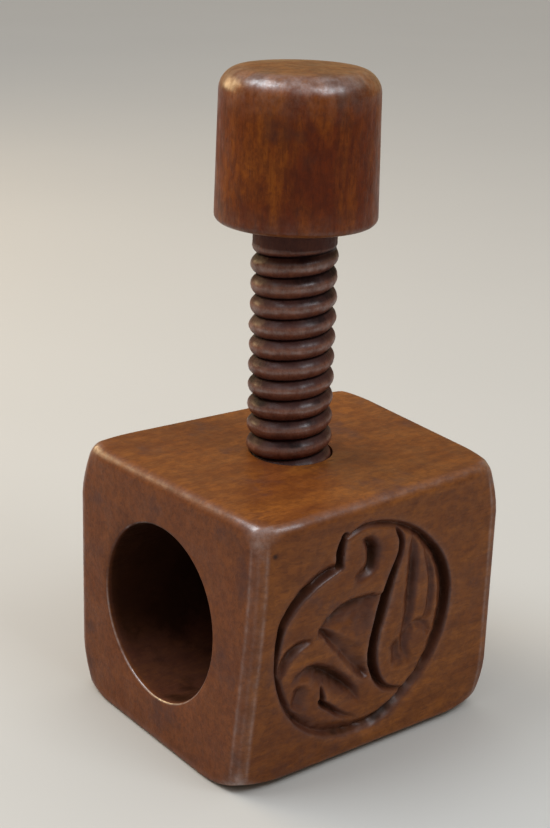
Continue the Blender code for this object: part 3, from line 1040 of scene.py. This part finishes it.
def stretch(tree, vector, along):
    """The vector with what runs along Z drawn out, as grain is."""
    values = {"Vector": vector, "Scale": (1.0, 1.0, along)}
    return new_node(tree, "ShaderNodeMapping", values).outputs["Vector"]


def remap(tree, value, low, high, to_low=0.0, to_high=1.0):
    """The value brought from one range to another along an S-curve, and held at its ends."""
    values = {
        "Value": value,
        "From Min": low,
        "From Max": high,
        "To Min": to_low,
        "To Max": to_high,
    }
    node = new_node(tree, "ShaderNodeMapRange", values, interpolation_type="SMOOTHSTEP")
    return node.outputs["Result"]


def maths(tree, operation, first, second):
    """What one operation on two values gives."""
    node = new_node(tree, "ShaderNodeMath", {0: first, 1: second}, operation=operation)
    return node.outputs["Value"]


def mix_colour(tree, share, first, second):
    """The first colour, with a share of the second mixed in."""
    node = new_node(tree, "ShaderNodeMix", data_type="RGBA")
    sockets = {socket.identifier: socket for socket in node.inputs}
    chosen = {"Factor_Float": share, "A_Color": first, "B_Color": second}
    for identifier, value in chosen.items():
        if isinstance(value, bpy.types.NodeSocket):
            tree.links.new(value, sockets[identifier])
        else:
            sockets[identifier].default_value = value
    return next(socket for socket in node.outputs if socket.identifier == "Result_Color")


def rgb(red, green, blue):
    """A colour socket's value, which also holds an alpha of 1."""
    return (red, green, blue, 1.0)


def wood_figure_group():
    """Grain along Z: broad figure, streaks, fibres, short pores and a fine mottle, from 0 to 1."""
    outputs = {name: "NodeSocketFloat" for name in FIGURE_LAYERS}
    tree, group_in, group_out = new_group("wood_figure", {"Vector": "NodeSocketVector"}, outputs)
    for name, (along, *noise_settings, low, high) in FIGURE_LAYERS.items():
        drawn_out = stretch(tree, group_in.outputs["Vector"], along)
        value = noise_value(tree, drawn_out, *noise_settings)
        tree.links.new(remap(tree, value, low, high), group_out.inputs[name])
    return tree


def wear_group():
    """Where the lacquer is rubbed and a painted sheen lies, where old wax and painted shade cloud
    it, and where dark wax and deeper painted shade darken it.
    """
    inputs = {name: "NodeSocketFloat" for name in ("Edge", "Crest", "Hollow")}
    outputs = {name: "NodeSocketFloat" for name in ("RubbedAndSheen", "HazeAndShade", "WaxAndShade")}
    tree, group_in, group_out = new_group("wear", {"Vector": "NodeSocketVector", **inputs}, outputs)
    vector = group_in.outputs["Vector"]
    patches = noise_value(tree, vector, scale=330, detail=6, roughness=0.75)
    broken = remap(tree, patches, *PATCH_LEVELS, PATCH_LEAST, 1.0)
    worn = maths(tree, "MAXIMUM", group_in.outputs["Edge"], group_in.outputs["Crest"])
    clouds = noise_value(tree, vector, scale=75, detail=4, roughness=0.6)
    clouds = remap(tree, clouds, *CLOUD_LEVELS, 0.0, CLOUD_SHARE)
    settled = maths(tree, "ADD", clouds, maths(tree, "MULTIPLY", patches, PATCH_SHARE))
    low = maths(tree, "ADD", group_in.outputs["Hollow"], settled)
    tree.links.new(maths(tree, "MULTIPLY", worn, broken), group_out.inputs["RubbedAndSheen"])
    tree.links.new(remap(tree, low, *HAZE_AND_SHADE_LEVELS), group_out.inputs["HazeAndShade"])
    tree.links.new(remap(tree, low, *WAX_AND_SHADE_LEVELS), group_out.inputs["WaxAndShade"])
    return tree


def hand_finish_group():
    """The surface's height, from waves and lumps of hand shaping, grain and pores, and its gloss."""
    tree, group_in, group_out = new_group(
        "hand_finish",
        {"Vector": "NodeSocketVector", "Streak": "NodeSocketFloat", "Pore": "NodeSocketFloat"},
        {"Height": "NodeSocketFloat", "Gloss": "NodeSocketFloat"},
    )
    vector = group_in.outputs["Vector"]
    height = noise_value(tree, vector, scale=95, detail=2, roughness=0.4)
    lumps = noise_value(tree, vector, scale=380, detail=3, roughness=0.6)
    grain, pores = group_in.outputs["Streak"], group_in.outputs["Pore"]
    for layer, share in ((lumps, LUMP_HEIGHT), (grain, GRAIN_HEIGHT), (pores, -PORE_DEPTH)):
        height = maths(tree, "ADD", height, maths(tree, "MULTIPLY", layer, share))
    gloss = noise_value(tree, vector, scale=140, detail=4, roughness=0.6)
    tree.links.new(height, group_out.inputs["Height"])
    tree.links.new(remap(tree, gloss, *GLOSS_LEVELS), group_out.inputs["Gloss"])
    return tree


def place_group(tree, group, values):
    """Puts a node group into a material, links its inputs and returns its outputs."""
    node = tree.nodes.new("ShaderNodeGroup")
    node.node_tree = group
    for socket, value in values.items():
        tree.links.new(value, node.inputs[socket])
    return node.outputs


def lacquered_wood(
    name, grain_turn, tones, end_tone, haze_and_shade_tone, wax_and_shade_tone, rubbed_and_sheen_tone, roughness, gloss, waves
):
    """A wood under worn lacquer. tones are its dark, middle and light colours.

    gloss is how much the lacquer still shines where it isn't rubbed up, and waves is the height
    in metres of the waves that hand shaping left.
    """
    material = bpy.data.materials.new(name)
    material.use_nodes = True
    tree = material.node_tree
    shader = tree.nodes["Principled BSDF"]
    place = new_node(tree, "ShaderNodeTexCoord").outputs["Object"]
    turned_place = {"Vector": place, "Rotation": grain_turn}
    along_grain = new_node(tree, "ShaderNodeMapping", turned_place).outputs["Vector"]
    figure = place_group(tree, GROUPS["figure"], {"Vector": along_grain})
    masks = {
        mask.title(): new_node(tree, "ShaderNodeAttribute", attribute_name=mask).outputs["Fac"]
        for mask in ("edge", "crest", "hollow", "end")
    }
    end = masks.pop("End")
    wear = place_group(tree, GROUPS["wear"], {"Vector": place, **masks})
    finish = place_group(
        tree,
        GROUPS["finish"],
        {"Vector": place, "Streak": figure["Streak"], "Pore": figure["Pore"]},
    )
    dark, middle, light = (rgb(*tone) for tone in tones)
    colour = mix_colour(tree, figure["Figure"], middle, light)
    # End grain is tinted, the rubbed layer is rubbed wear and partly a painted sheen, and the haze
    # and wax layers are old and dark wax and partly painted shade
    layers = [(end, END_SHARE, rgb(*end_tone))]
    layers += [(figure[name], share, dark) for name, share in DARK_SHARES.items()]
    layers += [
        (wear["RubbedAndSheen"], RUBBED_AND_SHEEN_SHARE, rgb(*rubbed_and_sheen_tone)),
        (wear["HazeAndShade"], HAZE_AND_SHADE_SHARE, rgb(*haze_and_shade_tone)),
        (wear["WaxAndShade"], WAX_AND_SHADE_SHARE, rgb(*wax_and_shade_tone)),
    ]
    for mask, share, tone in layers:
        colour = mix_colour(tree, maths(tree, "MULTIPLY", mask, share), colour, tone)
    tree.links.new(colour, shader.inputs["Base Color"])
    low, high = roughness
    tree.links.new(remap(tree, finish["Gloss"], 0.0, 1.0, low, high), shader.inputs["Roughness"])
    shine = remap(tree, wear["RubbedAndSheen"], 0.0, 1.0, gloss, 1.0)
    clean = remap(tree, wear["WaxAndShade"], 0.0, 1.0, 1.0, WAX_GLOSS)
    tree.links.new(maths(tree, "MULTIPLY", shine, clean), shader.inputs["Coat Weight"])
    bump = new_node(
        tree, "ShaderNodeBump", {"Strength": 1.0, "Distance": waves, "Height": finish["Height"]}
    )
    tree.links.new(bump.outputs["Normal"], shader.inputs["Normal"])
    shader.inputs["Specular IOR Level"].default_value = 0.06
    shader.inputs["Coat Roughness"].default_value = 0.30
    shader.inputs["Coat IOR"].default_value = 2.8
    return material


def add_knot(material, place, radius, tone):
    """Darkens the wood round one place, as a small knot does."""
    tree = material.node_tree
    colour = tree.nodes["Principled BSDF"].inputs["Base Color"]
    wood = colour.links[0].from_socket
    here = new_node(tree, "ShaderNodeTexCoord").outputs["Object"]
    apart = new_node(tree, "ShaderNodeVectorMath", {0: here, 1: place}, operation="DISTANCE")
    share = remap(tree, apart.outputs["Value"], 0.0, radius, KNOT_SHARE, 0.0)
    tree.links.new(mix_colour(tree, share, wood, rgb(*tone)), colour)
    return material


def block_wood():
    """Orange-brown hardwood with its grain along Y."""
    wood = lacquered_wood(
        "block_wood",
        grain_turn=(math.pi / 2, 0, 0),
        tones=((0.066, 0.017, 0.006), (0.172, 0.050, 0.009), (0.245, 0.079, 0.013)),
        # The end tone is end grain's colour with a purple tint that is partly a painted reflection
        end_tone=(0.166, 0.046, 0.014),
        # The haze and wax tones are dark wax in the carving and painted shade there, in the bore and
        # in the threaded hole
        haze_and_shade_tone=(0.058, 0.024, 0.022),
        wax_and_shade_tone=(0.024, 0.009, 0.004),
        # The rubbed tone is worn edges and a painted sheen on the edges, most at the corners, and a
        # painted highlight on the bore's lower lip
        rubbed_and_sheen_tone=(0.310, 0.190, 0.165),
        roughness=(0.36, 0.52),
        gloss=0.07,
        waves=0.0006,
    )
    return add_knot(wood, KNOT_PLACE, KNOT_RADIUS, tone=(0.010, 0.004, 0.004))


def screw_wood():
    """Purple-brown hardwood with its grain along Z."""
    return lacquered_wood(
        "screw_wood",
        grain_turn=(0, 0, 0),
        tones=((0.045, 0.013, 0.010), (0.116, 0.036, 0.022), (0.190, 0.066, 0.036)),
        end_tone=(0.110, 0.042, 0.026),
        # The haze and wax tones are dirt and painted shade in the thread's grooves, on its upper
        # flanks and at its neck
        haze_and_shade_tone=(0.046, 0.017, 0.017),
        wax_and_shade_tone=(0.008, 0.003, 0.003),
        # The rubbed tone is worn crests and a painted sheen along them
        rubbed_and_sheen_tone=(0.210, 0.085, 0.060),
        roughness=(0.40, 0.60),
        gloss=0.02,
        waves=0.0009,
    )


def knob_wood():
    """Deep red-brown hardwood with its grain along Z."""
    return lacquered_wood(
        "knob_wood",
        grain_turn=(0, 0, 0),
        tones=((0.044, 0.007, 0.002), (0.122, 0.019, 0.002), (0.260, 0.066, 0.004)),
        end_tone=(0.195, 0.085, 0.026),
        haze_and_shade_tone=(0.050, 0.018, 0.012),
        wax_and_shade_tone=(0.012, 0.005, 0.004),
        # The rubbed tone is a worn rim and a painted sheen round its top
        rubbed_and_sheen_tone=(0.270, 0.100, 0.050),
        roughness=(0.28, 0.44),
        gloss=0.045,
        waves=0.0006,
    )


def dowel_wood():
    """Plain unlacquered hardwood of the hidden dowel, with its grain along Z."""
    return lacquered_wood(
        "dowel_wood",
        grain_turn=(0, 0, 0),
        tones=((0.240, 0.150, 0.080), (0.420, 0.280, 0.150), (0.480, 0.340, 0.190)),
        end_tone=(0.420, 0.280, 0.160),
        haze_and_shade_tone=(0.200, 0.130, 0.070),
        wax_and_shade_tone=(0.100, 0.060, 0.030),
        rubbed_and_sheen_tone=(0.500, 0.360, 0.220),
        roughness=(0.55, 0.70),
        gloss=0.0,
        waves=0.0001,
    )


# Stage


def pale_surface(name, colour):
    """A matt surface that is faintly cloudy."""
    material = bpy.data.materials.new(name)
    material.use_nodes = True
    tree = material.node_tree
    shader = tree.nodes["Principled BSDF"]
    place = new_node(tree, "ShaderNodeTexCoord").outputs["Object"]
    cloudy = noise_value(tree, place, scale=6, detail=3)
    soft = tuple(value * 0.96 for value in colour)
    tree.links.new(mix_colour(tree, cloudy, rgb(*soft), rgb(*colour)), shader.inputs["Base Color"])
    shader.inputs["Roughness"].default_value = 0.85
    return material


def build_floor():
    """The pale floor that the block stands on, which is no part of the object."""
    bm = bmesh.new()
    bmesh.ops.create_grid(bm, x_segments=1, y_segments=1, size=FLOOR_HALF_WIDTH)
    floor = mesh_object("floor", bm)
    floor.data.materials.append(pale_surface("floor_finish", FLOOR_COLOUR))


def build_sky():
    """Soft light: bright and cool overhead, warm behind, dim elsewhere; the backdrop is plain."""
    world = bpy.data.worlds.new("studio")
    world.use_nodes = True
    tree = world.node_tree
    direction = new_node(tree, "ShaderNodeTexCoord").outputs["Generated"]
    height = new_node(tree, "ShaderNodeSeparateXYZ", {"Vector": direction}).outputs["Z"]
    azimuth = math.radians(CAMERA_AZIMUTH)
    away = {0: direction, 1: (-math.sin(azimuth), math.cos(azimuth), 0.0)}
    behind = new_node(tree, "ShaderNodeVectorMath", away, operation="DOT_PRODUCT").outputs["Value"]
    warmth = remap(tree, behind, *SKY_WARM_FACING)
    colour = mix_colour(tree, warmth, rgb(*SKY_LOW), rgb(*SKY_WARM))
    overhead = remap(tree, height, *SKY_HIGH_FACING)
    colour = mix_colour(tree, overhead, colour, rgb(*SKY_HIGH))
    seen = new_node(tree, "ShaderNodeLightPath").outputs["Is Camera Ray"]
    colour = mix_colour(tree, seen, colour, rgb(*BACKDROP))
    background = tree.nodes["Background"]
    tree.links.new(colour, background.inputs["Color"])
    background.inputs["Strength"].default_value = 1.0
    bpy.context.scene.world = world


def build_softbox(name, place, size, watts, colour):
    """A rectangular area light that faces the lights' common target."""
    light = bpy.data.lights.new(name, "AREA")
    light.shape = "RECTANGLE"
    light.size, light.size_y = size
    light.energy = watts
    light.color = colour
    lamp = bpy.data.objects.new(name, light)
    lamp.location = place
    lamp.rotation_euler = (LIGHT_TARGET - place).to_track_quat("-Z", "Y").to_euler()
    bpy.context.scene.collection.objects.link(lamp)


def build_camera():
    """The camera, turned from its azimuth, elevation and roll."""
    azimuth, elevation = math.radians(CAMERA_AZIMUTH), math.radians(CAMERA_ELEVATION)
    back = Vector(
        (
            math.sin(azimuth) * math.cos(elevation),
            -math.cos(azimuth) * math.cos(elevation),
            math.sin(elevation),
        )
    )
    right = Vector((0, 0, 1)).cross(back).normalized()
    upright = Matrix((right, back.cross(right), back)).transposed()
    turn = upright @ Matrix.Rotation(-math.radians(CAMERA_ROLL), 3, "Z")
    camera = bpy.data.objects.new("camera", bpy.data.cameras.new("camera"))
    camera.matrix_world = Matrix.Translation(CAMERA_PLACE) @ turn.to_4x4()
    camera.data.lens = CAMERA_LENS
    camera.data.sensor_width = 36.0
    camera.data.clip_start, camera.data.clip_end = 0.01, 20.0
    bpy.context.scene.collection.objects.link(camera)
    bpy.context.scene.camera = camera


GROUPS = {
    "figure": wood_figure_group(),
    "wear": wear_group(),
    "finish": hand_finish_group(),
}


def main():
    build_block()
    build_screw()
    build_knob()
    finish_dowel()
    build_floor()
    build_sky()
    for name, settings in SOFTBOXES.items():
        build_softbox(name, *settings)
    build_camera()
    bpy.context.scene.view_settings.view_transform = "Standard"


main()
